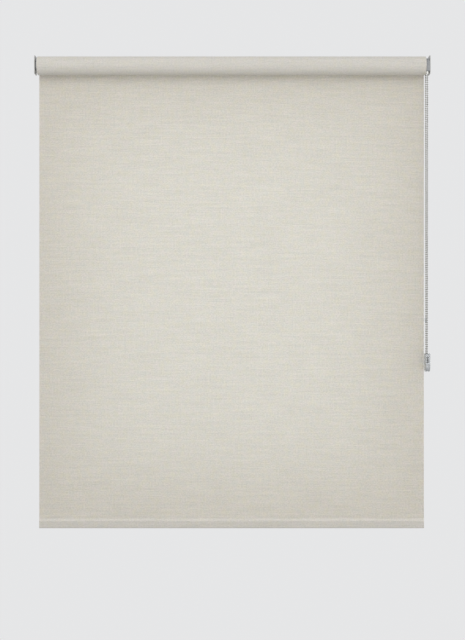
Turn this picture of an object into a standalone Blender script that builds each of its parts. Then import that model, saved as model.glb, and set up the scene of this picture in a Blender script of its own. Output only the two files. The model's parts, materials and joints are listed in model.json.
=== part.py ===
"""Chain-operated roller blind with a standard (rear) roll, hung inside a window recess.

Frame: metres, +Z up, +Y towards the window, +X to the right as seen from the room.
The origin is level with the top edges of the two brackets, centred between the fabric's two
edges, straight above the roller's axis. The blind is drawn fully lowered, its lower stop.
"""
import math

import bmesh
import bpy
from mathutils import Vector

# --- driving dimensions -------------------------------------------------------------
FABRIC_WIDTH = 1.060
FABRIC_THICKNESS = 0.0006
WRAPS = 5                      # turns of fabric left on the tube when the blind is down
TURNS = 7                      # turns of the roller from down to up
AXIS_DROP = 0.026              # top edge of the brackets to the roller's axis
DROP_LENGTH = 1.241            # roller's axis to the top of the hem pocket
POCKET_HEIGHT = 0.028

TUBE_RADIUS = 0.0225
TUBE_WALL = 0.0012
CHANNEL_DEPTH = 0.0019         # groove in the tube that locks the fabric's edge
CHANNEL_WIDTH = 0.0056
GAP = 0.0003                   # between touching pieces
CLEARANCE = 0.0004             # between turning and fixed pieces

BEAD_RADIUS = 0.00225
BEAD_PITCH = 0.006
BEADS = 287
WHEEL_POCKETS = 16
TENSIONER_POCKETS = 10

# --- stations along X, from the fabric's edge outwards -------------------------------
HALF = FABRIC_WIDTH / 2
CHAIN_X = HALF + 0.0035
WHEEL_INNER, WHEEL_OUTER = HALF + 0.0003, HALF + 0.0067
GUARD_INNER, GUARD_WALL, GUARD_OUTER = HALF + 0.0006, HALF + 0.0070, HALF + 0.0094
PLATE_THICKNESS = 0.0018
PLATE_RIGHT, WALL_RIGHT = HALF + 0.0097, HALF + 0.0115
SOCKET_FACE, PLATE_LEFT, WALL_LEFT = -HALF - 0.0024, -HALF - 0.0057, -HALF - 0.0075

# --- what follows from them -----------------------------------------------------------
ROLL_RADIUS = TUBE_RADIUS + WRAPS * FABRIC_THICKNESS
FABRIC_Y = ROLL_RADIUS - FABRIC_THICKNESS / 2
AXIS = Vector((0.0, 0.0, -AXIS_DROP))
POCKET_TOP = -AXIS_DROP - DROP_LENGTH
WHEEL_PITCH_RADIUS = WHEEL_POCKETS * BEAD_PITCH / math.tau
TENSIONER_PITCH_RADIUS = TENSIONER_POCKETS * BEAD_PITCH / math.tau


def chain_centres():
    """Distance between the two wheels' axes that a loop of BEADS beads asks for."""
    length, step = BEADS * BEAD_PITCH, WHEEL_PITCH_RADIUS - TENSIONER_PITCH_RADIUS
    centres = length / 2
    for _ in range(20):
        lean = math.asin(step / centres)
        wrapped = math.pi * (WHEEL_PITCH_RADIUS + TENSIONER_PITCH_RADIUS) + 2 * step * lean
        centres = math.hypot((length - wrapped) / 2, step)
    return centres


CENTRES = chain_centres()
LEAN = math.asin((WHEEL_PITCH_RADIUS - TENSIONER_PITCH_RADIUS) / CENTRES)
TENSIONER_AXIS = AXIS + Vector((0.0, 0.0, -CENTRES))
CHAIN_TRAVEL = TURNS * WHEEL_POCKETS * BEAD_PITCH


# --- materials --------------------------------------------------------------------------
def material(name, colour, roughness, metallic=0.0):
    made = bpy.data.materials.new(name)
    made.use_nodes = True
    shader = made.node_tree.nodes["Principled BSDF"]
    shader.inputs["Base Color"].default_value = (*colour, 1.0)
    shader.inputs["Roughness"].default_value = roughness
    shader.inputs["Metallic"].default_value = metallic
    made.diffuse_color = (*colour, 1.0)
    return made


# --- mesh helpers -------------------------------------------------------------------------
def finish_object(name, bm, look, parent, sharp=35.0):
    """Close the bmesh into a named object that hangs on its parent empty."""
    bmesh.ops.remove_doubles(bm, verts=bm.verts, dist=1e-7)
    bmesh.ops.recalc_face_normals(bm, faces=bm.faces)
    mesh = bpy.data.meshes.new(name)
    bm.to_mesh(mesh)
    bm.free()
    mesh.shade_smooth()
    mesh.set_sharp_from_angle(angle=math.radians(sharp))
    mesh.materials.append(look)
    made = bpy.data.objects.new(name, mesh)
    bpy.context.scene.collection.objects.link(made)
    made.parent = parent
    return made


def add_turned(bm, profile, segments, centre=(0.0, 0.0, 0.0), axis="X", lobes=0, depth=0.0):
    """Turn a closed profile of (station, radius) points about an axis.

    Points at radius 0 close the solid on the axis. With lobes, the points that carry a
    third value of True are scalloped inwards by depth, lobes times round the rim.
    """
    place = {"X": lambda a, u, v: (a, u, v), "Z": lambda a, u, v: (u, v, a)}[axis]
    rings = []
    for point in profile:
        station, radius = point[0], point[1]
        scalloped = len(point) > 2 and point[2]
        if radius < 1e-9:
            rings.append([bm.verts.new(Vector(centre) + Vector(place(station, 0, 0)))])
            continue
        ring = []
        for i in range(segments):
            angle = math.tau * i / segments
            r = radius
            if scalloped:
                r -= depth * (0.5 + 0.5 * math.cos(lobes * angle))
            spot = place(station, r * math.cos(angle), r * math.sin(angle))
            ring.append(bm.verts.new(Vector(centre) + Vector(spot)))
        rings.append(ring)
    for first, second in zip(rings, rings[1:] + rings[:1]):
        if len(first) == 1 and len(second) == 1:
            continue
        for i in range(segments):
            j = (i + 1) % segments
            if len(first) == 1:
                bm.faces.new((first[0], second[j], second[i]))
            elif len(second) == 1:
                bm.faces.new((first[i], first[j], second[0]))
            else:
                bm.faces.new((first[i], first[j], second[j], second[i]))


def turned(name, profile, look, parent, segments=48, **options):
    bm = bmesh.new()
    add_turned(bm, profile, segments, **options)
    return finish_object(name, bm, look, parent)


def add_prism(bm, loops, start, end, axis="X"):
    """Extrude an outline, with any holes in it, between two stations along an axis.

    An outline's points are (Y, Z) for a prism along X, and (X, Z) for one along Y.
    """
    place = {"X": lambda a, u, v: (a, u, v), "Y": lambda a, u, v: (u, a, v)}[axis]
    edges = []
    for loop in loops:
        verts = [bm.verts.new(place(start, u, v)) for u, v in loop]
        for first, second in zip(verts, verts[1:] + verts[:1]):
            edges.append(bm.edges.new((first, second)))
    filled = bmesh.ops.triangle_fill(bm, use_beauty=True, use_dissolve=False, edges=edges)
    faces = [g for g in filled["geom"] if isinstance(g, bmesh.types.BMFace)]
    grown = bmesh.ops.extrude_face_region(bm, geom=faces, use_keep_orig=True)
    verts = [g for g in grown["geom"] if isinstance(g, bmesh.types.BMVert)]
    bmesh.ops.translate(bm, verts=verts, vec=place(end - start, 0, 0))


def prism(name, loops, start, end, look, parent, axis="X"):
    bm = bmesh.new()
    add_prism(bm, loops, start, end, axis)
    return finish_object(name, bm, look, parent)


def boolean(target, operation, bm, name, parent):
    """Add (UNION), cut (DIFFERENCE) or keep inside (INTERSECT) a helper shape."""
    helper = finish_object(name, bm, target.data.materials[0], parent)
    helper.hide_render = True
    helper.display_type = "WIRE"
    modifier = target.modifiers.new(name, "BOOLEAN")
    modifier.operation = operation
    modifier.object = helper


def arc(centre, radius, start, end, steps):
    """Points on an arc, angles in degrees from +U towards +V, both ends included."""
    turn = [math.radians(start + (end - start) * i / steps) for i in range(steps + 1)]
    return [(centre[0] + radius * math.cos(a), centre[1] + radius * math.sin(a)) for a in turn]


def circle(radius, steps=32, centre=(0.0, 0.0)):
    return arc(centre, radius, 0, 360, steps)[:-1]


def tall_oval(width, height, centre, steps=10):
    """A flat bar's section: straight sides and half-round ends, upright."""
    radius, rise = width / 2, (height - width) / 2
    top = arc((centre[0], centre[1] + rise), radius, 0, 180, steps)
    bottom = arc((centre[0], centre[1] - rise), radius, 180, 360, steps)
    return top + bottom


def add_tube_along(bm, points, radius, sides, normal, closed):
    """Sweep a round section along points that all lie in a plane square to normal."""
    rings, count = [], len(points)
    for i, point in enumerate(points):
        before = points[(i - 1) % count] if closed or i else point
        after = points[(i + 1) % count] if closed or i < count - 1 else point
        side = (after - before).normalized().cross(normal)
        ring = []
        for k in range(sides):
            angle = math.tau * k / sides
            spot = point + radius * (math.cos(angle) * normal + math.sin(angle) * side)
            ring.append(bm.verts.new(spot))
        rings.append(ring)
    for first, second in zip(rings, rings[1:] + (rings[:1] if closed else [])):
        for k in range(sides):
            j = (k + 1) % sides
            bm.faces.new((first[k], first[j], second[j], second[k]))
    if not closed:
        bm.faces.new(rings[0])
        bm.faces.new(rings[-1])


def helix(name, start, end, mean_radius, wire_radius, turns, look, parent, steps=11, sides=5):
    """A coil spring along X, a closed tube with a flat cap on each end of the wire."""
    bm = bmesh.new()
    rings, total = [], turns * steps
    for i in range(total + 1):
        angle = math.tau * i / steps
        radial = Vector((0.0, math.cos(angle), math.sin(angle)))
        x = start + wire_radius + (end - start - 2 * wire_radius) * i / total
        centre = Vector((x, 0.0, 0.0)) + mean_radius * radial
        ring = []
        for k in range(sides):
            turn = math.tau * k / sides
            spot = centre + wire_radius * (math.cos(turn) * radial + math.sin(turn) * Vector((1, 0, 0)))
            ring.append(bm.verts.new(spot))
        rings.append(ring)
    for first, second in zip(rings, rings[1:]):
        for k in range(sides):
            j = (k + 1) % sides
            bm.faces.new((first[k], first[j], second[j], second[k]))
    bm.faces.new(rings[0])
    bm.faces.new(rings[-1])
    return finish_object(name, bm, look, parent)


def empty(name, location):
    made = bpy.data.objects.new(name, None)
    made.empty_display_size = 0.02
    made.location = location
    bpy.context.scene.collection.objects.link(made)
    return made


# --- roller: tube, locking strip, fabric left on it ------------------------------------------
def channel_section(radius, depth, width, steps=44):
    """A circle with a flat-bottomed groove pressed in at the top."""
    half = math.degrees(math.asin(width / 2 / radius))
    round_part = arc((0, 0), radius, 90 + half, 450 - half, steps)
    floor = radius - depth
    return round_part + [(width / 2, floor), (-width / 2, floor)]


def build_roller(spin, looks):
    outer = channel_section(TUBE_RADIUS, CHANNEL_DEPTH, CHANNEL_WIDTH)
    inner = channel_section(TUBE_RADIUS - TUBE_WALL, CHANNEL_DEPTH, CHANNEL_WIDTH + 2 * TUBE_WALL)
    prism("roller_tube", [outer, inner], -HALF, HALF, looks["aluminium"], spin)

    half, floor = CHANNEL_WIDTH / 2 - GAP, TUBE_RADIUS - CHANNEL_DEPTH + GAP
    strip = [(-half, floor), (half, floor), (half, TUBE_RADIUS - GAP), (-half, TUBE_RADIUS - GAP)]
    prism("fabric_spline", [strip], -HALF, HALF, looks["strip"], spin)

    roll = [circle(ROLL_RADIUS, 64), circle(TUBE_RADIUS + GAP, 64)]
    prism("rolled_fabric", roll, -HALF, HALF, looks["fabric"], spin)


def ribbed_section(core, rim, ribs=8, width=0.0024, steps=3):
    """A round core with straight ribs, none of them on the tube's channel."""
    points = []
    for i in range(ribs):
        middle = math.tau * (i + 0.5) / ribs + math.pi / 2
        root, tip = math.asin(width / 2 / core), math.asin(width / 2 / rim)
        points += [(rim * math.cos(middle + t), rim * math.sin(middle + t)) for t in (-tip, tip)]
        start, end = middle + root, middle + math.tau / ribs - root
        for k in range(steps + 1):
            angle = start + (end - start) * k / steps
            points.append((core * math.cos(angle), core * math.sin(angle)))
    return points


RIB_LAP, RIB_ROOT = 0.0004, 0.0017     # how far the ribs reach into the round core


def add_ribs(target, core, start, end, spin):
    """Join ribs onto a round core so that it drives the tube, or is driven by it."""
    bm = bmesh.new()
    rim = TUBE_RADIUS - TUBE_WALL - GAP
    add_prism(bm, [ribbed_section(core, rim), circle(core - RIB_ROOT, 24)], start, end)
    boolean(target, "UNION", bm, target.name + "_ribs", spin)


# --- idle (left) end -----------------------------------------------------------------------------
PIN_RADIUS, COLLAR_RADIUS, PIN_BORE = 0.0030, 0.0048, 0.0052
PIN_TIP = -HALF - 0.0058
PLUG_END, PLUG_DEPTH = -HALF - 0.0012, -HALF + 0.0300
COLLAR_START = -HALF + 0.0011
STEM_RADIUS, STEM_END = 0.0022, -HALF + 0.0150
RETAINER, RETAINER_THICKNESS = -HALF + 0.0220, 0.0015
PLUG_RIM, PLUG_CORE, PIN_CHAMFER, COLLAR = 0.0218, 0.0125, 0.0008, 0.0020
PIN_SPRING_RADIUS, PIN_SPRING_WIRE = 0.0035, 0.00035


def build_idle_end(spin, pin_slide, looks):
    wall_end = COLLAR_START - GAP
    plug = turned("idle_plug", [
        (PLUG_END, PIN_RADIUS + CLEARANCE), (PLUG_END, PLUG_RIM), (-HALF - GAP, PLUG_RIM),
        (-HALF - GAP, PLUG_CORE), (PLUG_DEPTH, PLUG_CORE), (PLUG_DEPTH, PIN_BORE),
        (wall_end, PIN_BORE), (wall_end, PIN_RADIUS + CLEARANCE)],
        looks["white_plastic"], spin, segments=40)
    add_ribs(plug, PLUG_CORE - RIB_LAP, -HALF + 0.0006, PLUG_DEPTH - RIB_LAP, spin)

    collar_end = COLLAR_START + COLLAR
    turned("idle_pin", [
        (PIN_TIP, 0.0), (PIN_TIP, PIN_RADIUS - PIN_CHAMFER), (PIN_TIP + PIN_CHAMFER, PIN_RADIUS),
        (COLLAR_START, PIN_RADIUS), (COLLAR_START, COLLAR_RADIUS), (collar_end, COLLAR_RADIUS),
        (collar_end, STEM_RADIUS), (STEM_END, STEM_RADIUS), (STEM_END, 0.0)],
        looks["grey_plastic"], pin_slide, segments=28)

    helix("pin_spring", collar_end + GAP, RETAINER - GAP, PIN_SPRING_RADIUS, PIN_SPRING_WIRE, 7,
          looks["spring_steel"], spin)
    hole, end = STEM_RADIUS + CLEARANCE, RETAINER + RETAINER_THICKNESS
    turned("pin_retainer", [
        (RETAINER, hole), (RETAINER, PIN_BORE - GAP), (end, PIN_BORE - GAP), (end, hole)],
        looks["grey_plastic"], spin, segments=28)


# --- brackets, pin socket and screws ---------------------------------------------------------------
BRACKET_HALF_DEPTH, BRACKET_DROP, BRACKET_CORNER = 0.018, 0.050, 0.006
KEY_HALF, BOSS_RADIUS = 0.0035, 0.0047
SCREW_RADIUS, SCREW_HEAD, SINK = 0.00175, 0.0034, 0.0014
SCREW_OUT, SCREW_DOWN = 0.0115, 0.0065
SOCKET_RADIUS, SOCKET_EDGE, SOCKET_FLOOR = 0.0130, 0.0006, 0.0012


def bracket_outline():
    """The plate's side view in Y and Z, with rounded corners."""
    side, foot, corner = BRACKET_HALF_DEPTH - BRACKET_CORNER, BRACKET_CORNER - BRACKET_DROP, BRACKET_CORNER
    return (arc((side, -corner), corner, 90, 0, 6) + arc((side, foot), corner, 0, -90, 6)
            + arc((-side, foot), corner, -90, -180, 6) + arc((-side, -corner), corner, 180, 90, 6))


def square(half, centre=(0.0, 0.0)):
    y, z = centre
    return [(y - half, z - half), (y + half, z - half), (y + half, z + half), (y - half, z + half)]


def screw_profile(face, sign):
    """A countersunk screw along X, cut off where it enters the wall, pointing as sign says."""
    steps = [(0.0, 0.0), (0.0, SCREW_HEAD), (SINK, SCREW_RADIUS), (PLATE_THICKNESS, SCREW_RADIUS),
             (PLATE_THICKNESS, 0.0)]
    return [(face + sign * reach, radius) for reach, radius in steps]


def add_screw_hole(bm, face, sign, centre):
    """Cutter for a countersunk hole through a sheet whose inner face is at face."""
    reach, wide = PLATE_THICKNESS + 0.002, SCREW_HEAD + GAP
    steps = [(-0.002, 0.0), (-0.002, wide), (0.0, wide), (SINK, SCREW_RADIUS + GAP),
             (reach, SCREW_RADIUS + GAP), (reach, 0.0)]
    add_turned(bm, [(face + sign * x, radius) for x, radius in steps], 20, centre=centre)


def build_bracket(side, sign, root, looks):
    """A flat plate for the side of the recess, with a hole for the socket or the core's key."""
    inner = PLATE_LEFT if sign < 0 else PLATE_RIGHT
    low, high = sorted((inner, inner + sign * PLATE_THICKNESS))
    centre = (0.0, -AXIS_DROP)
    hole = circle(BOSS_RADIUS + GAP, 28, centre=centre) if sign < 0 else square(KEY_HALF + GAP, centre)
    plate = prism("bracket_" + side, [bracket_outline(), hole], low, high, looks["bracket_steel"], root)
    bm = bmesh.new()
    for place, y in (("front", -SCREW_OUT), ("rear", SCREW_OUT)):
        spot = Vector((0.0, y, -SCREW_DOWN))
        add_screw_hole(bm, inner, sign, spot)
        screw = turned(f"bracket_screw_{side}_{place}", screw_profile(inner, sign),
                       looks["zinc_steel"], root, segments=20)
        screw.location = spot
    boolean(plate, "DIFFERENCE", bm, f"bracket_{side}_holes", root)


def build_pin_socket(root, looks):
    """Plastic bearing in the left bracket that the idle pin springs into."""
    bottom = WALL_LEFT + SOCKET_FLOOR
    socket = turned("pin_socket", [
        (SOCKET_FACE, PIN_RADIUS + CLEARANCE), (SOCKET_FACE, SOCKET_RADIUS - SOCKET_EDGE),
        (SOCKET_FACE - SOCKET_EDGE, SOCKET_RADIUS), (PLATE_LEFT + GAP, SOCKET_RADIUS),
        (PLATE_LEFT + GAP, BOSS_RADIUS), (WALL_LEFT + GAP, BOSS_RADIUS), (WALL_LEFT + GAP, 0.0),
        (bottom, 0.0), (bottom, PIN_RADIUS + CLEARANCE)],
        looks["grey_plastic"], root, segments=36)
    socket.location = AXIS


# --- control (right) end: clutch, chain wheel and guard -----------------------------------------
CORE_START, CORE_RADIUS = HALF - 0.0400, 0.0066
KEY_END = WALL_RIGHT - GAP
CROWN_START, CROWN_END = HALF - 0.0375, HALF - 0.0003
SLEEVE_START, SLEEVE_BORE, SLEEVE_RADIUS = HALF - 0.0340, 0.0081, 0.0096
SPRING_RADIUS, SPRING_WIRE, SPRING_STEP = 0.0073, 0.0004, 0.0160
NOSE_RADIUS, GROOVE_RADIUS, CLIP_RADIUS, CLIP_SLOT = 0.0060, 0.0052, 0.0084, 0.0013
CROWN_RADIUS, CROWN_FLOOR = 0.0128, 0.0026


def build_clutch(spin, wheel_spin, root, looks):
    groove, core_end = CORE_START + 0.0008, WHEEL_OUTER - GAP
    core = turned("clutch_core", [
        (CORE_START, 0.0), (CORE_START, NOSE_RADIUS), (groove, NOSE_RADIUS), (groove, GROOVE_RADIUS),
        (groove + CLIP_SLOT, GROOVE_RADIUS), (groove + CLIP_SLOT, CORE_RADIUS), (core_end, CORE_RADIUS),
        (core_end, 0.0)], looks["grey_plastic"], root, segments=36)
    core.location = AXIS
    bm = bmesh.new()
    add_prism(bm, [square(KEY_HALF)], core_end - CLIP_SLOT, KEY_END)
    boolean(core, "UNION", bm, "clutch_core_key", root)
    bpy.data.objects["clutch_core_key"].location = AXIS

    clip = arc((0, 0), CLIP_RADIUS, 120, 420, 24) + arc((0, 0), GROOVE_RADIUS + GAP, 420, 120, 24)
    circlip = prism("core_circlip", [clip], groove + GAP, groove + CLIP_SLOT - GAP,
                    looks["spring_steel"], root)
    circlip.location = AXIS

    crown_floor = CROWN_START + CROWN_FLOOR
    crown = turned("drive_crown", [
        (CROWN_START, CORE_RADIUS + CLEARANCE), (CROWN_START, CROWN_RADIUS), (CROWN_END, CROWN_RADIUS),
        (CROWN_END, SLEEVE_RADIUS + CLEARANCE), (crown_floor, SLEEVE_RADIUS + CLEARANCE),
        (crown_floor, CORE_RADIUS + CLEARANCE)], looks["grey_plastic"], spin, segments=40)
    add_ribs(crown, CROWN_RADIUS - RIB_LAP, CROWN_START + RIB_LAP, CROWN_END - RIB_LAP, spin)

    for i, name in enumerate(("wrap_spring_inner", "wrap_spring_outer")):
        start = SLEEVE_START + 3 * SPRING_WIRE + i * SPRING_STEP
        helix(name, start, start + SPRING_STEP - 3 * SPRING_WIRE, SPRING_RADIUS, SPRING_WIRE, 7,
              looks["spring_steel"], wheel_spin)


WHEEL_RIM, WHEEL_SHOULDER, WHEEL_GROOVE, SCALLOP = 0.0168, 0.0140, 0.0024, 0.0011
GUARD_BORE, GUARD_RADIUS, GUARD_FOOT, GUARD_LAP = 0.0190, 0.0202, -0.0170, 0.0006


def build_chain_wheel(wheel_spin, looks):
    """Spool for the bead chain, in one piece with the sleeve that works the wrap springs."""
    groove = WHEEL_PITCH_RADIUS - BEAD_RADIUS - GAP
    edge = BEAD_RADIUS + GAP
    rim, shoulder, bottom = WHEEL_RIM, WHEEL_SHOULDER, WHEEL_GROOVE / 2
    turned("chain_wheel", [
        (SLEEVE_START, SLEEVE_BORE), (SLEEVE_START, SLEEVE_RADIUS), (WHEEL_INNER, SLEEVE_RADIUS),
        (WHEEL_INNER, shoulder), (WHEEL_INNER, rim, True), (CHAIN_X - edge, rim, True),
        (CHAIN_X - edge, shoulder), (CHAIN_X - bottom, groove), (CHAIN_X + bottom, groove),
        (CHAIN_X + edge, shoulder), (CHAIN_X + edge, rim, True), (WHEEL_OUTER, rim, True),
        (WHEEL_OUTER, shoulder), (WHEEL_OUTER, CORE_RADIUS + CLEARANCE),
        (WHEEL_INNER + 0.001, CORE_RADIUS + CLEARANCE), (WHEEL_INNER + 0.001, SLEEVE_BORE)],
        looks["white_plastic"], wheel_spin, segments=64, lobes=WHEEL_POCKETS, depth=SCALLOP)


def arch(radius, foot, steps=20):
    """An upside-down U about the roller's axis, from the right foot round to the left."""
    return [(radius, foot)] + arc((0, 0), radius, 0, 180, steps) + [(-radius, foot)]


def build_chain_guard(root, looks):
    """Cup over the chain wheel, open below for the two strands."""
    wall = arch(GUARD_RADIUS, GUARD_FOOT)
    guard = prism("chain_guard", [wall, square(KEY_HALF + GAP)], GUARD_WALL, GUARD_OUTER,
                  looks["grey_plastic"], root)
    guard.location = AXIS
    rim = arch(GUARD_RADIUS - 1e-5, GUARD_FOOT) + list(reversed(arch(GUARD_BORE, GUARD_FOOT)))
    bm = bmesh.new()
    add_prism(bm, [rim], GUARD_INNER, GUARD_OUTER - GUARD_LAP)
    boolean(guard, "UNION", bm, "chain_guard_rim", None)
    bpy.data.objects["chain_guard_rim"].location = AXIS


# --- chain loop, stop ball and connector -----------------------------------------------------------
def strand_point(side, along):
    """A point on the front (-1) or rear (+1) strand, along it from the chain wheel down."""
    outward = Vector((0.0, side * math.cos(LEAN), -math.sin(LEAN)))
    start = AXIS + WHEEL_PITCH_RADIUS * outward + Vector((CHAIN_X, 0.0, 0.0))
    return start + along * strand_down(side)


def strand_down(side):
    return Vector((0.0, -side * math.sin(LEAN), -math.cos(LEAN)))


STRAND_LENGTH = CENTRES * math.cos(LEAN)
STOP_REST = 0.0215
CONNECTOR_REST = STOP_REST + CHAIN_TRAVEL + 0.0020
STOP_HALF, STOP_WAIST, STOP_BULGE = 0.0040, 0.0031, 0.0003
JOINER_HALF, JOINER_RADIUS = 0.0055, 0.0032


def build_chain(root, stop_slide, connector_slide, looks):
    lean, runs = math.degrees(LEAN), 6
    plane = Vector((CHAIN_X, 0.0, 0.0))
    points = []
    for y, z in arc((0.0, -AXIS_DROP), WHEEL_PITCH_RADIUS, 180 + lean, -lean, 20):
        points.append(Vector((0.0, y, z)) + plane)
    points += [strand_point(1, STRAND_LENGTH * i / runs) for i in range(1, runs)]
    for y, z in arc((0.0, TENSIONER_AXIS.z), TENSIONER_PITCH_RADIUS, -lean, lean - 180, 16):
        points.append(Vector((0.0, y, z)) + plane)
    points += [strand_point(-1, STRAND_LENGTH * i / runs) for i in range(runs - 1, 0, -1)]
    bm = bmesh.new()
    add_tube_along(bm, points, BEAD_RADIUS, 8, Vector((1.0, 0.0, 0.0)), closed=True)
    finish_object("chain_loop", bm, looks["nickel"], root, sharp=60.0)

    bore, half = BEAD_RADIUS + GAP, STOP_HALF
    bulge = [(half * t, STOP_WAIST - STOP_BULGE * t * t) for t in (-1, -0.6, 0, 0.6, 1)]
    ball = [(-half, bore)] + bulge + [(half, bore)]
    stop = turned("chain_stop", ball, looks["white_plastic"], stop_slide, segments=28, axis="Z")
    stop.rotation_euler = (-LEAN, 0.0, 0.0)

    half, radius, cut = JOINER_HALF, JOINER_RADIUS, GAP
    barrel = [(-half, bore), (-half, radius - cut), (-half + cut, radius), (half - cut, radius),
              (half, radius - cut), (half, bore)]
    joiner = turned("chain_connector", barrel, looks["clear_plastic"], connector_slide,
                    segments=24, axis="Z")
    joiner.rotation_euler = (LEAN, 0.0, 0.0)


# --- chain tensioner on the side of the recess ------------------------------------------------------
TENSIONER_HALF, TENSIONER_HEAD, TENSIONER_SHELL = 0.0142, 0.0350, 0.0012
TENSIONER_CORNER, AXLE_REST = 0.0040, 0.0010
WINDOW_LOW, WINDOW_HIGH = 0.0100, 0.0260      # the two side windows, above the wheel's axis
BASE_START = WALL_RIGHT - PLATE_THICKNESS
HOUSING_INNER, HOUSING_OUTER = CHAIN_X - 0.0047, BASE_START - GAP
TENSIONER_SCREWS = (0.0150, 0.0270)
AXLE_RADIUS = 0.0020


def tensioner_outline():
    """Round below the wheel, straight sides above it, with small corners at the top."""
    side, head, corner = TENSIONER_HALF, TENSIONER_HEAD, TENSIONER_CORNER
    return (arc((0, 0), side, 180, 360, 20) + arc((side - corner, head - corner), corner, 0, 90, 4)
            + arc((-side + corner, head - corner), corner, 90, 180, 4))


def build_tensioner(root, wheel_spin, looks):
    base = prism("tensioner_base", [tensioner_outline()], BASE_START, WALL_RIGHT,
                 looks["clear_plastic"], root)
    base.location = TENSIONER_AXIS
    bm = bmesh.new()
    hole, floor = AXLE_RADIUS + GAP, BASE_START + AXLE_REST + GAP
    add_turned(bm, [(BASE_START - GAP, 0.0), (BASE_START - GAP, hole), (floor, hole), (floor, 0.0)], 20)
    for rise in TENSIONER_SCREWS:
        add_screw_hole(bm, BASE_START, 1, (0.0, 0.0, rise))
    boolean(base, "DIFFERENCE", bm, "tensioner_base_holes", root)
    bpy.data.objects["tensioner_base_holes"].location = TENSIONER_AXIS

    cover = prism("tensioner_cover", [tensioner_outline()], HOUSING_INNER, HOUSING_OUTER,
                  looks["clear_plastic"], root)
    cover.location = TENSIONER_AXIS
    bm = bmesh.new()
    side = TENSIONER_HALF - TENSIONER_SHELL
    above = TENSIONER_HEAD + 0.01
    hollow = arc((0, 0), side, 180, 360, 20) + [(side, above), (-side, above)]
    add_prism(bm, [hollow], HOUSING_INNER + 0.0009, HOUSING_OUTER + 0.002)
    boolean(cover, "DIFFERENCE", bm, "tensioner_cover_hollow", root)
    bm = bmesh.new()
    wide = TENSIONER_HALF + 0.005
    slot = [(-wide, WINDOW_LOW), (-wide, WINDOW_HIGH), (wide, WINDOW_HIGH), (wide, WINDOW_LOW)]
    add_prism(bm, [slot], CHAIN_X - 0.0024, CHAIN_X + 0.0032)
    boolean(cover, "DIFFERENCE", bm, "tensioner_cover_windows", root)
    for helper in ("tensioner_cover_hollow", "tensioner_cover_windows"):
        bpy.data.objects[helper].location = TENSIONER_AXIS

    axle = turned("tensioner_axle", [
        (HOUSING_INNER + 0.0012, 0.0), (HOUSING_INNER + 0.0012, AXLE_RADIUS),
        (BASE_START + AXLE_REST, AXLE_RADIUS), (BASE_START + AXLE_REST, 0.0)],
        looks["zinc_steel"], root, segments=24)
    axle.location = TENSIONER_AXIS

    groove, edge = TENSIONER_PITCH_RADIUS - BEAD_RADIUS - GAP, BEAD_RADIUS + GAP
    rim, shoulder, side = 0.0110, 0.0084, CHAIN_X - edge - 0.0007
    far = CHAIN_X + edge + 0.0010
    turned("tensioner_wheel", [
        (side, AXLE_RADIUS + CLEARANCE), (side, shoulder), (side, rim, True),
        (CHAIN_X - edge, rim, True), (CHAIN_X - edge, shoulder), (CHAIN_X - 0.0012, groove),
        (CHAIN_X + 0.0012, groove), (CHAIN_X + edge, shoulder), (CHAIN_X + edge, rim, True),
        (far, rim, True), (far, shoulder), (far, AXLE_RADIUS + CLEARANCE)],
        looks["white_plastic"], wheel_spin, segments=40, lobes=TENSIONER_POCKETS, depth=SCALLOP)

    for place, rise in zip(("lower", "upper"), TENSIONER_SCREWS):
        screw = turned(f"tensioner_screw_{place}", screw_profile(BASE_START, 1), looks["zinc_steel"],
                       root, segments=20)
        screw.location = TENSIONER_AXIS + Vector((0.0, 0.0, rise))


# --- hanging fabric, hem pocket and bottom bar --------------------------------------------------------
BAR_WIDTH, BAR_HEIGHT, BAR_WALL = 0.0046, 0.0200, 0.0009
BAR_HALF = HALF - 0.0030
SEAM_HEIGHT = 0.0040           # flat part of the pocket, where front and back are welded
POCKET_APEX = 0.0033           # the hollow's point above its shoulders
DROP_START = 0.0070            # the drawn drop begins this far below the axis, clear of the roll


def pocket_section(inset):
    """The pocket as folded round the bar: a flat seam above, a round fold below."""
    half = BAR_WIDTH / 2 + GAP + FABRIC_THICKNESS - inset
    foot = POCKET_TOP - POCKET_HEIGHT + half + inset
    fold = arc((FABRIC_Y, foot), half, 180, 360, 12)
    shoulder = foot + BAR_HEIGHT - BAR_WIDTH + 2 * FABRIC_THICKNESS
    if inset:
        apex = (FABRIC_Y, shoulder + POCKET_APEX)
        return fold + [(FABRIC_Y + half, shoulder), apex, (FABRIC_Y - half, shoulder)]
    seam, top = FABRIC_THICKNESS, POCKET_TOP
    return fold + [(FABRIC_Y + half, shoulder), (FABRIC_Y + seam, top - SEAM_HEIGHT), (FABRIC_Y + seam, top),
                   (FABRIC_Y - seam, top), (FABRIC_Y - seam, top - SEAM_HEIGHT), (FABRIC_Y - half, shoulder)]


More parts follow.
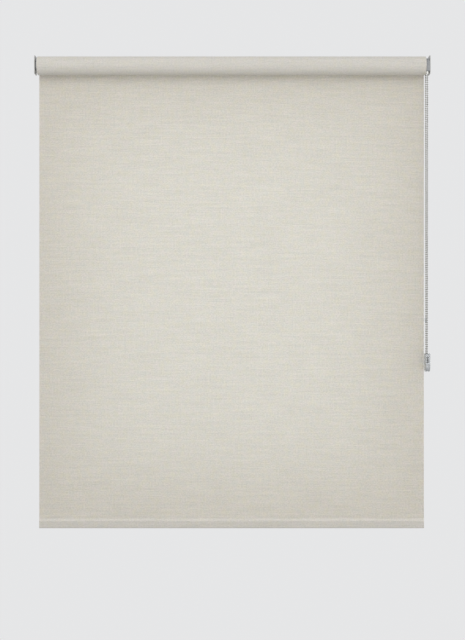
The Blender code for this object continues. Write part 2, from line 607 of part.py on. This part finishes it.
def build_fabric(root, hem_slide, looks):
    half = FABRIC_THICKNESS / 2
    low, high = POCKET_TOP + GAP, -AXIS_DROP - DROP_START
    drop = [(FABRIC_Y - half, low), (FABRIC_Y + half, low), (FABRIC_Y + half, high), (FABRIC_Y - half, high)]
    prism("fabric_drop", [drop], -HALF, HALF, looks["fabric"], root)

    def under(points):
        return [(y - hem_slide.location.y, z - hem_slide.location.z) for y, z in points]

    pocket = [under(pocket_section(0.0)), under(pocket_section(FABRIC_THICKNESS))]
    prism("hem_pocket", pocket, -HALF, HALF, looks["fabric"], hem_slide)

    middle = (FABRIC_Y, POCKET_TOP - POCKET_HEIGHT + FABRIC_THICKNESS + GAP + BAR_HEIGHT / 2)
    bar = [under(tall_oval(BAR_WIDTH, BAR_HEIGHT, middle)),
           under(tall_oval(BAR_WIDTH - 2 * BAR_WALL, BAR_HEIGHT - 2 * BAR_WALL, middle))]
    prism("bottom_bar", bar, -BAR_HALF, BAR_HALF, looks["aluminium"], hem_slide)
    plug = under(tall_oval(BAR_WIDTH - 2 * BAR_WALL - 2 * GAP, BAR_HEIGHT - 2 * BAR_WALL - 2 * GAP, middle))
    face = under(tall_oval(BAR_WIDTH, BAR_HEIGHT, middle))
    for name, sign in (("bar_cap_left", -1), ("bar_cap_right", 1)):
        start, end = sorted((sign * (BAR_HALF + GAP), sign * (BAR_HALF + 0.0022)))
        cap = prism(name, [face], start, end, looks["white_plastic"], hem_slide)
        bm = bmesh.new()
        low, high = sorted((sign * (BAR_HALF - 0.012), sign * (BAR_HALF + 0.001)))
        add_prism(bm, [plug], low, high)
        boolean(cap, "UNION", bm, name + "_tongue", hem_slide)


# --- build ------------------------------------------------------------------------------------------------
def main():
    for old in list(bpy.data.objects):
        bpy.data.objects.remove(old, do_unlink=True)
    looks = {
        "fabric": material("beige_linen", (0.62, 0.59, 0.51), 0.9),
        "aluminium": material("aluminium", (0.80, 0.81, 0.82), 0.35, 1.0),
        "strip": material("pvc_strip", (0.75, 0.75, 0.72), 0.5),
        "white_plastic": material("white_plastic", (0.80, 0.80, 0.78), 0.45),
        "grey_plastic": material("grey_plastic", (0.45, 0.46, 0.47), 0.5),
        "clear_plastic": material("clear_plastic", (0.62, 0.65, 0.68), 0.3),
        "bracket_steel": material("painted_steel", (0.40, 0.40, 0.39), 0.5),
        "zinc_steel": material("zinc_steel", (0.62, 0.63, 0.65), 0.35, 1.0),
        "spring_steel": material("spring_steel", (0.45, 0.45, 0.46), 0.4, 1.0),
        "nickel": material("nickel", (0.66, 0.66, 0.66), 0.3, 1.0),
    }
    root = empty("bracket_line", (0.0, 0.0, 0.0))
    roller_spin = empty("roller_spin", AXIS)
    wheel_spin = empty("chain_wheel_spin", AXIS)
    pin_slide = empty("idle_pin_slide", AXIS)
    hem_slide = empty("hem_slide", (0.0, FABRIC_Y, POCKET_TOP))
    stop_slide = empty("chain_stop_slide", strand_point(-1, STOP_REST))
    connector_slide = empty("chain_connector_slide", strand_point(1, CONNECTOR_REST))
    tensioner_spin = empty("tensioner_wheel_spin", TENSIONER_AXIS)

    build_roller(roller_spin, looks)
    build_idle_end(roller_spin, pin_slide, looks)
    for side, sign in (("left", -1), ("right", 1)):
        build_bracket(side, sign, root, looks)
    build_pin_socket(root, looks)
    build_clutch(roller_spin, wheel_spin, root, looks)
    build_chain_wheel(wheel_spin, looks)
    build_chain_guard(root, looks)
    build_chain(root, stop_slide, connector_slide, looks)
    build_tensioner(root, tensioner_spin, looks)
    build_fabric(root, hem_slide, looks)


main()
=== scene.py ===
"""Looks for the roller blind: cloth, roll, hem, bead chain and every material."""
import json
import math

import bmesh
import bpy
import numpy as np
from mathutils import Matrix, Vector


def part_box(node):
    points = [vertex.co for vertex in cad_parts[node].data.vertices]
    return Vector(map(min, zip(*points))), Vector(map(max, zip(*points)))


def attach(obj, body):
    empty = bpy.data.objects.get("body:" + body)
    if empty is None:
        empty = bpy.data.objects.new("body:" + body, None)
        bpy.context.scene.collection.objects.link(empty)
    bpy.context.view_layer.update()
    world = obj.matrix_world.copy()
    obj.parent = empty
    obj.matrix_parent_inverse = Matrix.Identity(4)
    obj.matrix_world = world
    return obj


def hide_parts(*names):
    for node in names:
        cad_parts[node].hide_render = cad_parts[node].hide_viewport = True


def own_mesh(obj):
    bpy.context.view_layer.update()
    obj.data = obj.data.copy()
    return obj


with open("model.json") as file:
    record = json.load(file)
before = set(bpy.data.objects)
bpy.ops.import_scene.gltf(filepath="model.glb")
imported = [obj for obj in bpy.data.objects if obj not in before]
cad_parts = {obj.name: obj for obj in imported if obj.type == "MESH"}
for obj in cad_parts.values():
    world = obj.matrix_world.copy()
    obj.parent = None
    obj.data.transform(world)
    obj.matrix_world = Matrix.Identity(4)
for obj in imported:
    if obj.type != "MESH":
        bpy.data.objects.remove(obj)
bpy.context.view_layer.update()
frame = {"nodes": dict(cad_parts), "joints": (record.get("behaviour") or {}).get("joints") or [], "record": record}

# --- places that the frame gives ------------------------------------------------------------------
JOINTS = {joint["name"]: joint for joint in frame["joints"]}
AXIS_Z = JOINTS["roller_spin"]["pos_m"][2]
TENSIONER_Z = JOINTS["tensioner_wheel_spin"]["pos_m"][2]
CHAIN_X = JOINTS["chain_wheel_spin"]["pos_m"][0]
ROLL_LOW, ROLL_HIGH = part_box("rolled_fabric")
POCKET_LOW, POCKET_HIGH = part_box("hem_pocket")
BAR_LOW, BAR_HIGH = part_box("bottom_bar")

# --- cloth sizes, in metres -----------------------------------------------------------------------
LEFT, RIGHT = ROLL_LOW.x, ROLL_HIGH.x
CLOTH_WIDTH = RIGHT - LEFT
LAYER = 0.0006                      # pitch of the layers on the roll
CLOTH = 0.00052                     # thickness of the cloth itself
THREAD = 0.00074                    # pitch of the weave
ROLL_RADIUS = (ROLL_HIGH.z - ROLL_LOW.z) / 2
CLOTH_Y = ROLL_RADIUS - LAYER / 2
POCKET_TOP, POCKET_BOTTOM = POCKET_HIGH.z, POCKET_LOW.z
DROP_LENGTH = AXIS_Z - POCKET_TOP
SEAM_GAP = 0.00004                  # the drawn drop stops this far above the hem's piece
WELD_HALF = 0.0040                  # half the height of the band at the pocket's top that is painted lighter, a painted highlight where the cloth bulges out
EDGE_CURL = 0.0008                  # how far the drop's side edges curl towards the window
WRAPS = 4.2                         # turns of cloth left on the roll
TURN_STEPS = 56                     # rows of faces in one turn
LOOSENESS = 0.00005                 # how far the layers wander from a true spiral
PUCKER = 0.00010                    # height of the small waves along the hem's weld

# Soft waves of the hung cloth: height, then radians per metre across and down, then phase.
WAVES = ((0.00042, 5.1, 1.9, 0.7), (0.00026, 11.3, -3.1, 2.1), (0.00014, 23.0, 7.0, 4.0))
STAND_OFF = sum(wave[0] for wave in WAVES)      # so that no wave reaches the roll

# --- chain sizes ----------------------------------------------------------------------------------
BEAD_RADIUS, BEAD_PITCH = 0.00225, 0.006
WHEEL_POCKETS, TENSIONER_POCKETS = 16, 10
COLLAR_RADIUS, NECK_RADIUS = 0.00085, 0.00062
LINK_RADIUS = 0.00045
LINK_START = 0.0018                 # each link starts this far from the middle of its bead

# --- stage ----------------------------------------------------------------------------------------
FLOOR_RADIUS, FLOOR_DROP = 6.0, 2.2
ROOM_WHITE, SKY_BLUE = (1.0, 0.99, 0.97), (0.70, 0.84, 1.0)


# --- small node-tree helpers ----------------------------------------------------------------------
class Shader:
    """A material's node tree with short calls for the nodes that this scene uses."""

    def __init__(self, name):
        self.material = bpy.data.materials.new(name)
        self.material.use_nodes = True
        self.tree = self.material.node_tree
        self.surface = self.tree.nodes["Principled BSDF"]

    def add(self, kind, inputs=None, **settings):
        made = self.tree.nodes.new(kind)
        for key, value in settings.items():
            setattr(made, key, value)
        for key, value in (inputs or {}).items():
            self.put(made.inputs[key], value)
        return made

    def put(self, socket, value):
        if isinstance(value, bpy.types.NodeSocket):
            self.tree.links.new(value, socket)
        else:
            socket.default_value = value

    def set(self, **values):
        for key, value in values.items():
            self.put(self.surface.inputs[key.replace("_", " ")], value)

    def calc(self, operation, first, second=0.0, third=0.0):
        made = self.add("ShaderNodeMath", operation=operation)
        for socket, value in zip(made.inputs, (first, second, third)):
            self.put(socket, value)
        return made.outputs[0]

    def scaled(self, vector, scale):
        return self.add("ShaderNodeMapping", {"Vector": vector, "Scale": scale}).outputs[0]

    def noise(self, vector, scale, detail=3.0, roughness=0.55):
        inputs = {"Vector": self.scaled(vector, scale), "Scale": 1.0, "Detail": detail,
                  "Roughness": roughness}
        return self.add("ShaderNodeTexNoise", inputs).outputs[0]

    def spread(self, value, low, high, new_low, new_high):
        inputs = {"Value": value, 1: low, 2: high, 3: new_low, 4: new_high}
        return self.add("ShaderNodeMapRange", inputs).outputs[0]

    def blend(self, factor, first, second, mode="MIX"):
        made = self.add("ShaderNodeMix", data_type="RGBA", blend_type=mode)
        for socket, value in zip((made.inputs[0], made.inputs[6], made.inputs[7]),
                                 (factor, first, second)):
            self.put(socket, value)
        return made.outputs[2]

    def bump(self, height, distance, strength=1.0):
        inputs = {"Height": height, "Distance": distance, "Strength": strength}
        return self.add("ShaderNodeBump", inputs).outputs[0]

    def place(self):
        return self.add("ShaderNodeTexCoord").outputs["Object"]


def rgb(red, green, blue):
    """A colour socket's value from sRGB numbers between 0 and 255."""
    def linear(c):
        c /= 255
        return c / 12.92 if c <= 0.04045 else ((c + 0.055) / 1.055) ** 2.4
    return (linear(red), linear(green), linear(blue), 1.0)


# --- materials; noise scales are per metre --------------------------------------------------------
def linen(name, painted_light_scale, through):
    """Warm beige linen-look cloth: plain weave, slubs both ways, soft mottling.

    through is the share of light that passes each face. The scale before it is painted light: it makes each copy
    of the same cloth lighter or darker for the light that falls on its piece.
    """
    s = Shader(name)
    cloth = s.add("ShaderNodeUVMap", uv_map="cloth").outputs[0]
    apart = s.add("ShaderNodeSeparateXYZ", {"Vector": cloth})
    sideways, lengthways = apart.outputs[0], apart.outputs[1]

    weft_slub = s.noise(cloth, (15.0, 330.0, 1.0), detail=2.0, roughness=0.6)
    warp_slub = s.noise(cloth, (300.0, 11.0, 1.0), detail=2.0, roughness=0.6)
    long_streak = s.noise(cloth, (6.0, 130.0, 1.0), detail=2.0)
    mottle = s.noise(cloth, (230.0, 300.0, 1.0), detail=2.0, roughness=0.6)
    tint = s.noise(cloth, (60.0, 85.0, 7.0), detail=2.0, roughness=0.5)
    tint_two = s.noise(cloth, (70.0, 60.0, 23.0), detail=2.0, roughness=0.5)

    wobble = s.calc("MULTIPLY", s.calc("SUBTRACT", mottle, 0.5), 0.9)
    phase_x = s.calc("ADD", s.calc("MULTIPLY", sideways, math.pi / THREAD), wobble)
    phase_y = s.calc("ADD", s.calc("MULTIPLY", lengthways, math.pi / THREAD), wobble)
    wave_x, wave_y = s.calc("SINE", phase_x), s.calc("SINE", phase_y)
    over = s.spread(s.calc("MULTIPLY", wave_x, wave_y), -0.25, 0.25, 0.0, 1.0)
    warp, weft = s.calc("ABSOLUTE", wave_x), s.calc("ABSOLUTE", wave_y)
    weave = s.calc("ADD", s.calc("MULTIPLY", warp, over),
                   s.calc("MULTIPLY", weft, s.calc("SUBTRACT", 1.0, over)))

    base = s.blend(s.spread(tint, 0.36, 0.64, 0.0, 1.0), rgb(212, 207, 201), rgb(208, 206, 199))
    base = s.blend(s.spread(tint_two, 0.42, 0.68, 0.0, 0.55), base, rgb(211, 207, 192))
    shade = s.spread(weave, 0.0, 1.0, -0.10, 0.05)
    for pattern, depth in ((weft_slub, 0.036), (warp_slub, 0.014), (long_streak, 0.024), (mottle, 0.080)):
        shade = s.calc("ADD", shade, s.spread(pattern, 0.3, 0.7, -depth, depth))
    # painted highlight: the band at the pocket's top is made lighter for the light the cloth catches where it
    # bulges out over the bar
    weld = s.calc("COMPARE", lengthways, DROP_LENGTH + WELD_HALF, WELD_HALF)
    shade = s.calc("ADD", shade, s.calc("MULTIPLY", weld, 0.12))
    # painted light: the whole cloth's colour is scaled up or down for how much light falls on this piece
    light = s.calc("MULTIPLY", s.calc("ADD", 1.0, shade), painted_light_scale)
    grey = s.add("ShaderNodeCombineColor", {0: light, 1: light, 2: light}).outputs[0]
    colour = s.blend(1.0, base, grey, mode="MULTIPLY")

    slubs = s.calc("ADD", s.calc("MULTIPLY", weft_slub, 0.9), s.calc("MULTIPLY", warp_slub, 0.5))
    height = s.calc("ADD", s.calc("MULTIPLY", weave, 0.45), slubs)
    s.set(Base_Color=colour, Roughness=s.spread(mottle, 0.3, 0.7, 0.82, 0.96),
          Normal=s.bump(height, 0.00022, 0.8), Sheen_Weight=0.10, Sheen_Roughness=0.55,
          Specular_IOR_Level=0.25)
    behind = s.add("ShaderNodeBsdfTranslucent", {"Color": colour})
    joined = s.add("ShaderNodeMixShader", {0: through, 1: s.surface.outputs[0], 2: behind.outputs[0]})
    output = next(n for n in s.tree.nodes if n.type == "OUTPUT_MATERIAL")
    s.tree.links.new(joined.outputs[0], output.inputs["Surface"])
    return s.material


def plastic(name, colour, worn, roughness, transmission=0.0, grain=900.0, relief=0.00006):
    """Moulded plastic with a fine spark-eroded grain, faint cloudiness and a dulled shine."""
    s = Shader(name)
    where = s.place()
    cloud = s.noise(where, (70.0,) * 3, detail=4.0)
    fine = s.noise(where, (grain,) * 3, detail=2.0)
    scuffs = s.noise(where, (420.0, 60.0, 60.0), detail=3.0, roughness=0.7)
    s.set(Base_Color=s.blend(s.spread(cloud, 0.35, 0.7, 0.0, 1.0), colour, worn),
          Roughness=s.calc("ADD", s.spread(fine, 0.3, 0.7, roughness - 0.07, roughness + 0.07),
                           s.spread(scuffs, 0.62, 0.75, 0.0, 0.12)),
          Normal=s.bump(fine, relief, 0.6), IOR=1.49, Transmission_Weight=transmission)
    return s.material


def metal(name, colour, worn, roughness, stretch, relief=0.00003):
    """Metal whose polish lines or crystals run as stretch says, darker where it has dulled."""
    s = Shader(name)
    where = s.place()
    lines = s.noise(where, stretch, detail=4.0, roughness=0.65)
    dull = s.noise(where, (90.0,) * 3, detail=4.0)
    s.set(Base_Color=s.blend(s.spread(dull, 0.4, 0.7, 0.0, 1.0), colour, worn), Metallic=1.0,
          Roughness=s.calc("ADD", s.spread(lines, 0.3, 0.7, roughness - 0.08, roughness + 0.08),
                           s.spread(dull, 0.5, 0.75, 0.0, 0.10)),
          Normal=s.bump(lines, relief, 0.5))
    return s.material


def powder_coat():
    """Powder coat with its orange-peel surface, in a mid grey that is painted shade: the brackets are coloured as
    they look in the shadow at the roll's ends.
    """
    s = Shader("grey_powder_coat")
    where = s.place()
    peel = s.noise(where, (650.0,) * 3, detail=2.0)
    cloud = s.noise(where, (40.0,) * 3, detail=3.0)
    # painted shade: these greys stand for the shadow over the brackets at the roll's ends
    s.set(Base_Color=s.blend(s.spread(cloud, 0.35, 0.7, 0.0, 1.0), rgb(170, 169, 166), rgb(158, 157, 153)),
          Roughness=s.spread(peel, 0.3, 0.7, 0.36, 0.5), Normal=s.bump(peel, 0.00012, 0.7),
          Coat_Weight=0.15, Coat_Roughness=0.3)
    return s.material


MATERIALS = {
    # painted light: this copy of the cloth is lifted to 1.16 for the light that falls on the hanging cloth
    "fabric": linen("hanging_linen", 1.16, 0.50),
    "aluminium": metal("drawn_aluminium", rgb(214, 216, 218), rgb(190, 192, 194), 0.34, (6.0, 900.0, 900.0)),
    "pvc_strip": plastic("pvc_strip", rgb(222, 220, 212), rgb(206, 204, 196), 0.5),
    "white_plastic": plastic("white_moulded_plastic", rgb(228, 228, 224), rgb(217, 216, 210), 0.40),
    # on the chain guard and the pin socket this grey is painted shade, coloured as they look in the shadow at the
    # roll's ends
    "grey_plastic": plastic("grey_nylon", rgb(150, 152, 154), rgb(132, 134, 137), 0.52),
    "clear_plastic": plastic("smoky_clear_plastic", rgb(222, 225, 227), rgb(208, 211, 214), 0.22,
                             transmission=0.55, grain=1400.0, relief=0.000015),
    "painted_steel": powder_coat(),
    "zinc_steel": metal("bright_zinc", rgb(196, 198, 202), rgb(168, 170, 172), 0.30, (500.0,) * 3, 0.00006),
    "spring_steel": metal("spring_wire", rgb(140, 141, 144), rgb(110, 110, 112), 0.36, (800.0,) * 3),
    "nickel_chain": metal("nickel_plate", rgb(184, 184, 180), rgb(146, 146, 142), 0.26, (700.0,) * 3),
}


# --- cloth meshes ---------------------------------------------------------------------------------
def thin_sheet(name, middle, normal, along, look=None):
    """A closed thin sheet of cloth round a grid of points.

    middle and normal are arrays of rows by columns by 3. along is each row's distance along the
    cloth, kept with the distance across it as the UV map that the weave follows.
    """
    rows, columns = middle.shape[:2]
    front, back = middle + normal * CLOTH / 2, middle - normal * CLOTH / 2
    points = np.concatenate([front.reshape(-1, 3), back.reshape(-1, 3)])
    grid = np.arange(rows * columns).reshape(rows, columns)
    under = grid + rows * columns

    def quads(g):
        return np.stack([g[:-1, :-1], g[:-1, 1:], g[1:, 1:], g[1:, :-1]], -1).reshape(-1, 4)

    first = np.concatenate([grid[0, :-1], grid[:-1, -1], grid[-1, :0:-1], grid[:0:-1, 0]])
    second = np.roll(first, -1)
    rim = np.stack([second, first, first + rows * columns, second + rows * columns], -1)
    faces = np.concatenate([quads(grid), quads(under)[:, ::-1], rim])
    mesh = bpy.data.meshes.new(name)
    mesh.from_pydata(points.tolist(), [], faces.tolist())
    flat = np.empty((rows, columns, 2))
    flat[:, :, 0], flat[:, :, 1] = middle[:, :, 0], along[:, None]
    flat = np.concatenate([flat.reshape(-1, 2)] * 2)
    corners = np.empty(len(mesh.loops), int)
    mesh.loops.foreach_get("vertex_index", corners)
    mesh.uv_layers.new(name="cloth").data.foreach_set("uv", flat[corners].ravel())
    return add_piece(name, mesh, "fabric", look=look)


def add_piece(name, mesh, slot, sharp=40.0, look=None):
    """Shade a finished mesh, give it its material and put it in the scene."""
    tidy = bmesh.new()
    tidy.from_mesh(mesh)
    bmesh.ops.recalc_face_normals(tidy, faces=tidy.faces)
    tidy.to_mesh(mesh)
    tidy.free()
    mesh.shade_smooth()
    mesh.set_sharp_from_angle(angle=math.radians(sharp))
    mesh.materials.append(look or MATERIALS[slot])
    piece = bpy.data.objects.new(name, mesh)
    bpy.context.scene.collection.objects.link(piece)
    return piece


def across(columns):
    """Evenly spaced places from the cloth's left edge to its right edge."""
    return np.linspace(LEFT, RIGHT, columns)


def ripple(x, z):
    """How far the hung cloth stands off its flat plane, never less than nothing."""
    return STAND_OFF + sum(height * np.sin(over * x + down * z + phase)
                           for height, over, down, phase in WAVES)


def make_drop():
    """The hanging cloth, tangent to the roll above and held straight by the hem below."""
    rows, columns = 150, 112
    share = np.linspace(0.0, 1.0, rows)
    x = across(columns)[None, :].repeat(rows, 0)
    length = DROP_LENGTH - SEAM_GAP
    z = (AXIS_Z - length * share)[:, None].repeat(columns, 1)
    free = np.sin(np.pi * share)[:, None] ** 0.6
    edge = (np.abs(x) / (CLOTH_WIDTH / 2)) ** 14
    y = CLOTH_Y + free * (ripple(x, z) + EDGE_CURL * edge)
    middle = np.stack([x, y, z], -1)
    normal = np.zeros_like(middle)
    normal[:, :, 1] = -1.0
    drop = thin_sheet("hanging_cloth", middle, normal, length * share)
    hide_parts("fabric_drop")
    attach(drop, "fixed_frame")
    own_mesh(drop)


def make_roll():
    """The turns of cloth left on the tube, one spiral that runs into the hanging cloth."""
    steps = int(WRAPS * TURN_STEPS)
    turn = np.linspace(0.0, math.tau * WRAPS, steps + 1)
    x = across(60)
    radius = ROLL_RADIUS - LAYER / 2 - LAYER * turn / math.tau
    length = np.concatenate([[0.0], np.cumsum((radius[1:] + radius[:-1]) / 2 * np.diff(turn))])
    waves = np.sin(37.0 * x[None, :] + 3.0 * turn[:, None])
    loose = radius[:, None] + LOOSENESS * waves * np.minimum(turn, 1.0)[:, None]
    y = loose * np.cos(turn)[:, None]
    z = AXIS_Z + loose * np.sin(turn)[:, None]
    middle = np.stack([x[None, :].repeat(len(turn), 0), y, z], -1)
    normal = np.stack([np.zeros_like(y), np.cos(turn)[:, None] + 0 * y, np.sin(turn)[:, None] + 0 * y], -1)
    # painted shade: the roll's copy of the same cloth is darkened to 0.94
    stacked = linen("rolled_linen", 0.94, 0.06)
    roll = thin_sheet("rolled_cloth", middle, normal, -length, look=stacked)
    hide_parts("rolled_fabric")
    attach(roll, "roller")


def pocket_path():
    """Side view of the cloth folded round the bar, as (Y, Z) points from the front's top."""
    half = (BAR_HIGH.y - BAR_LOW.y) / 2 + LAYER
    middle_y = (BAR_HIGH.y + BAR_LOW.y) / 2
    foot = POCKET_BOTTOM + half + LAYER / 2
    shoulder = BAR_HIGH.z - half * 0.7
    seam = POCKET_TOP - 0.0042
    start = 0.00015
    points = [(CLOTH_Y, POCKET_TOP), (CLOTH_Y, POCKET_TOP - 0.0012), (CLOTH_Y - 0.00004, POCKET_TOP - 0.0030),
              (CLOTH_Y - start, seam)]
    bulge = [0.25, 0.5, 0.75, 1.0]
    for t in bulge:
        ease = t * t * (3 - 2 * t)
        points.append((CLOTH_Y - start - (half - start) * ease, seam + (shoulder - seam) * t))
    points += [(middle_y - half, shoulder + (foot - shoulder) * t) for t in (0.2, 0.4, 0.6, 0.8)]
    for i in range(15):
        angle = math.pi + math.pi * i / 14
        points.append((middle_y + half * math.cos(angle), foot + half * math.sin(angle)))
    points += [(middle_y + half, foot + (shoulder - foot) * t) for t in (0.2, 0.4, 0.6, 0.8)]
    for t in reversed([0.0] + bulge):
        ease = t * t * (3 - 2 * t)
        points.append((CLOTH_Y + LAYER + (half - LAYER) * ease, seam + (shoulder - seam) * t))
    points += [(CLOTH_Y + LAYER, POCKET_TOP - 0.0025), (CLOTH_Y + LAYER + 0.00004, POCKET_TOP - 0.0008)]
    return np.array(points)


def make_hem():
    """The welded pocket that holds the bottom bar."""
    path = pocket_path()
    x = across(160)
    step = np.diff(path, axis=0)
    length = np.concatenate([[0.0], np.cumsum(np.hypot(step[:, 0], step[:, 1]))])
    tangent = np.gradient(path, axis=0)
    tangent /= np.hypot(tangent[:, 0], tangent[:, 1])[:, None]
    outward = np.stack([tangent[:, 1], -tangent[:, 0]], -1)
    weld = np.exp(-((path[:, 1] - (POCKET_TOP - 0.0046)) / 0.0022) ** 2)
    pucker = PUCKER * weld[:, None] * (np.sin(410 * x) + 0.6 * np.sin(173 * x + 1.0))[None, :]
    y = path[:, 0][:, None] + pucker * outward[:, 0][:, None]
    z = path[:, 1][:, None] + pucker * outward[:, 1][:, None]
    middle = np.stack([x[None, :].repeat(len(path), 0), y, z], -1)
    normal = np.zeros_like(middle)
    normal[:, :, 1], normal[:, :, 2] = outward[:, 0][:, None], outward[:, 1][:, None]
    # painted light: the hem's copy of the same cloth is set to 1.06
    folded = linen("folded_linen", 1.06, 0.24)
    hem = thin_sheet("hem_cloth", middle, normal, DROP_LENGTH + length, look=folded)
    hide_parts("hem_pocket")
    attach(hem, "hem")


# --- bead chain -----------------------------------------------------------------------------------
def chain_route(distance):
    """Point on the loop, (Y, Z), a distance along it from the top of the chain wheel."""
    big, small = (n * BEAD_PITCH / math.tau for n in (WHEEL_POCKETS, TENSIONER_POCKETS))
    centres = AXIS_Z - TENSIONER_Z
    lean = math.asin((big - small) / centres)
    top, bottom = big * (math.pi / 2 + lean), small * (math.pi / 2 - lean)
    run = centres * math.cos(lean)
    half = top + run + bottom
    side = 1.0 if distance % (2 * half) <= half else -1.0
    d = distance % (2 * half)
    if side < 0:
        d = 2 * half - d
    if d <= top:
        angle = math.pi / 2 - d / big
        y, z = big * math.cos(angle), AXIS_Z + big * math.sin(angle)
    elif d <= top + run:
        angle = -lean
        y = big * math.cos(angle) - (d - top) * math.sin(lean)
        z = AXIS_Z + big * math.sin(angle) - (d - top) * math.cos(lean)
    else:
        angle = -lean - (d - top - run) / small
        y, z = small * math.cos(angle), TENSIONER_Z + small * math.sin(angle)
    return Vector((CHAIN_X, side * y, z)), 2 * half


def turned_shell(profile, sides):
    """Points and faces of a shell turned about Z, closed at its first and last point."""
    angle = np.arange(sides) * math.tau / sides
    points = [(0.0, 0.0, profile[0][1])]
    for radius, height in profile[1:-1]:
        points += [(radius * math.cos(a), radius * math.sin(a), height) for a in angle]
    points.append((0.0, 0.0, profile[-1][1]))
    faces, last = [], len(points) - 1
    for i in range(sides):
        j = (i + 1) % sides
        faces.append((0, 1 + j, 1 + i))
        faces.append((last, last - sides + i, last - sides + j))
        for ring in range(len(profile) - 3):
            a, b = 1 + ring * sides, 1 + (ring + 1) * sides
            faces.append((a + i, a + j, b + j))
            faces.append((a + i, b + j, b + i))
    return np.array(points), faces


def bead_profile():
    """A hollow ball with a small rolled collar at each end."""
    polar = [math.pi * i / 8 for i in range(1, 8)]
    ball = [(BEAD_RADIUS * math.sin(a), -BEAD_RADIUS * math.cos(a)) for a in polar]
    end, root = BEAD_RADIUS + 0.0001, BEAD_RADIUS - 0.00012
    return ([(0.0, -end), (NECK_RADIUS, -end), (COLLAR_RADIUS, -root)] + ball
            + [(COLLAR_RADIUS, root), (NECK_RADIUS, end), (0.0, end)])


def make_chain():
    """Every bead and every link of the loop."""
    _, total = chain_route(0.0)
    count = round(total / BEAD_PITCH)
    pitch = total / count
    spots = [chain_route(i * pitch)[0] for i in range(count)]
    ball, ball_faces = turned_shell(bead_profile(), 12)
    rod = [(0.0, -1.0), (LINK_RADIUS, -1.0), (LINK_RADIUS, 1.0), (0.0, 1.0)]
    pin, pin_faces = turned_shell(rod, 6)
    points, faces = [], []

    def place(shape, shape_faces, centre, direction, stretch=1.0):
        turn = direction.to_track_quat("Z", "X").to_matrix()
        scaled = shape * np.array((1.0, 1.0, stretch))
        start = sum(len(p) for p in points)
        points.append(scaled @ np.array(turn).T + np.array(centre))
        faces.extend(tuple(start + i for i in face) for face in shape_faces)

    for i, spot in enumerate(spots):
        after, before = spots[(i + 1) % count], spots[i - 1]
        place(ball, ball_faces, spot, (after - before).normalized())
        gap = after - spot
        place(pin, pin_faces, (spot + after) / 2, gap.normalized(), gap.length / 2 - LINK_START)
    mesh = bpy.data.meshes.new("bead_chain")
    mesh.from_pydata(np.concatenate(points).tolist(), [], faces)
    chain = add_piece("bead_chain", mesh, "nickel_chain", sharp=50.0)
    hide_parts("chain_loop")
    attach(chain, "fixed_frame")


# --- CAD nodes: materials and softened edges ------------------------------------------------------
SOFT_EDGES = {
    "chain_guard": 0.0003, "idle_plug": 0.0003, "pin_socket": 0.0002,
    "tensioner_cover": 0.00035, "tensioner_base": 0.0003, "bar_cap_left": 0.0004,
    "bar_cap_right": 0.0004, "bracket_left": 0.0002, "bracket_right": 0.0002,
}


def dress_nodes():
    for entry in frame["record"]["subparts"]:
        node = frame["nodes"][entry["node"]]
        node.data.materials.clear()
        node.data.materials.append(MATERIALS[entry["material_slot"]])
        if entry["node"] in SOFT_EDGES:
            bevel = node.modifiers.new("soft_edges", "BEVEL")
            bevel.width, bevel.segments = SOFT_EDGES[entry["node"]], 2
            bevel.limit_method, bevel.angle_limit = "ANGLE", math.radians(40)


def press_spring():
    """Give the idle pin's spring a mesh of its own."""
    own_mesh(frame["nodes"]["pin_spring"])


# --- stage, light and camera ----------------------------------------------------------------------
def make_stage():
    bpy.ops.mesh.primitive_circle_add(vertices=128, radius=FLOOR_RADIUS, fill_type="NGON",
                                      location=(0, 0, POCKET_BOTTOM - FLOOR_DROP))
    floor = bpy.context.object
    floor.name = "stage_floor"
    s = Shader("stage_floor")
    grain = s.noise(s.place(), (3.0,) * 3, detail=3.0)
    s.set(Base_Color=s.blend(grain, rgb(222, 222, 220), rgb(214, 214, 212)), Roughness=0.9)
    floor.data.materials.append(s.material)


def area_light(name, place, target, size, power, colour):
    data = bpy.data.lights.new(name, "AREA")
    data.shape = "RECTANGLE"
    data.size, data.size_y = size
    data.energy, data.color = power, colour
    lamp = bpy.data.objects.new(name, data)
    lamp.location = place
    lamp.rotation_euler = (Vector(target) - Vector(place)).to_track_quat("-Z", "Y").to_euler()
    lamp.visible_camera = False
    bpy.context.scene.collection.objects.link(lamp)


def make_light():
    middle = AXIS_Z - DROP_LENGTH / 2
    scene = bpy.context.scene
    scene.view_settings.view_transform = "Standard"
    world = bpy.data.worlds.new("pale_world")
    world.use_nodes = True
    sky = world.node_tree.nodes["Background"]
    sky.inputs["Color"].default_value = (0.985, 0.99, 1.0, 1.0)
    sky.inputs["Strength"].default_value = 0.80
    scene.world = world
    area_light("room_light", (-0.5, -2.6, 0.85), (0, 0, middle), (2.4, 1.8), 27.0, ROOM_WHITE)
    area_light("room_fill", (0.8, -2.4, -1.2), (0, 0, POCKET_TOP + 0.3), (1.6, 1.2), 10.0, ROOM_WHITE)
    area_light("window_light", (0, 0.20, middle), (0, 0, middle), (0.88, 1.04), 3.3, SKY_BLUE)


def make_camera():
    """Level with the middle of the window, square on, a little right of the blind's centre."""
    distance, right, below = 3.4, 0.0025, 0.6952
    data = bpy.data.cameras.new("camera")
    data.sensor_width, data.lens = 36.0, 69.38
    camera = bpy.data.objects.new("camera", data)
    camera.location = (right, CLOTH_Y - distance, AXIS_Z - below)
    camera.rotation_euler = (math.radians(90), 0, 0)
    bpy.context.scene.collection.objects.link(camera)
    bpy.context.scene.camera = camera


make_camera()
make_chain()
make_roll()
make_drop()
make_hem()
dress_nodes()
press_spring()
make_stage()
make_light()

bpy.context.view_layer.update()
